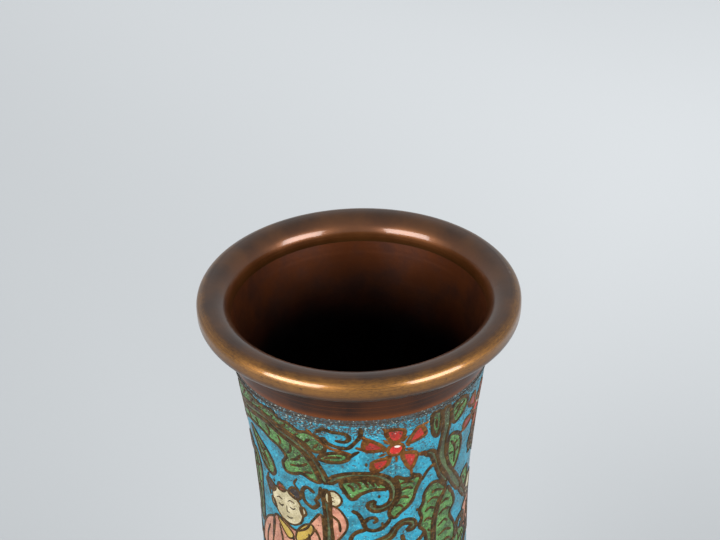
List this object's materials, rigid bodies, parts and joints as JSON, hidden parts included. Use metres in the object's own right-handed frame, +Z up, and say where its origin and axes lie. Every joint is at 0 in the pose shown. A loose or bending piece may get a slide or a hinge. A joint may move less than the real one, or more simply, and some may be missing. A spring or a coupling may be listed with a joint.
{
  "type": "cloisonne vase",
  "caption": "Baluster vase with a flared neck, rolled bronze lip and spreading foot, its outside covered with enamel between raised bronze wires.",
  "frame": {"origin": "centre of the flat face the foot rests on", "axes": "+Z up along the vase's axis, -Y towards the viewer's side"},
  "size_m": [0.168, 0.168, 0.364],
  "materials": {
    "body_bronze": "aged, brown patina with worn golden edges",
    "wire_bronze": "polished flush, darkened",
    "turquoise_enamel": "fired enamel, ground and polished, pitted",
    "cobalt_enamel": "fired enamel, pitted",
    "green_enamel": "fired enamel, ground and polished",
    "red_enamel": "fired enamel, ground and polished"
  },
  "bodies": {
    "root": {"foot_rim": "body_bronze", "base_plate": "body_bronze", "foot_shell": "body_bronze", "belly_shell": "body_bronze", "shoulder_shell": "body_bronze", "neck_tube": "body_bronze", "lip_ring": "body_bronze", "waist_ring": "body_bronze", "neck_ring": "body_bronze", "foot_edge_wire": "wire_bronze", "lappet_foot_wire": "wire_bronze", "collar_edge_wire": "wire_bronze", "neck_foot_wire": "wire_bronze", "neck_edge_wire": "wire_bronze", "collar_wires": "wire_bronze", "collar_heart_wires": "wire_bronze", "lappet_wires": "wire_bronze", "lappet_heart_wires": "wire_bronze", "foot_field_enamel": "turquoise_enamel", "neck_field_enamel": "turquoise_enamel", "shoulder_field_enamel": "turquoise_enamel", "belly_field_enamel": "turquoise_enamel", "foot_strip_enamel": "cobalt_enamel", "neck_foot_enamel": "cobalt_enamel", "neck_edge_enamel": "cobalt_enamel", "collar_enamel": "green_enamel", "lappet_enamel": "green_enamel", "collar_heart_enamel": "red_enamel", "lappet_heart_enamel": "red_enamel"}
  },
  "joints": []
}
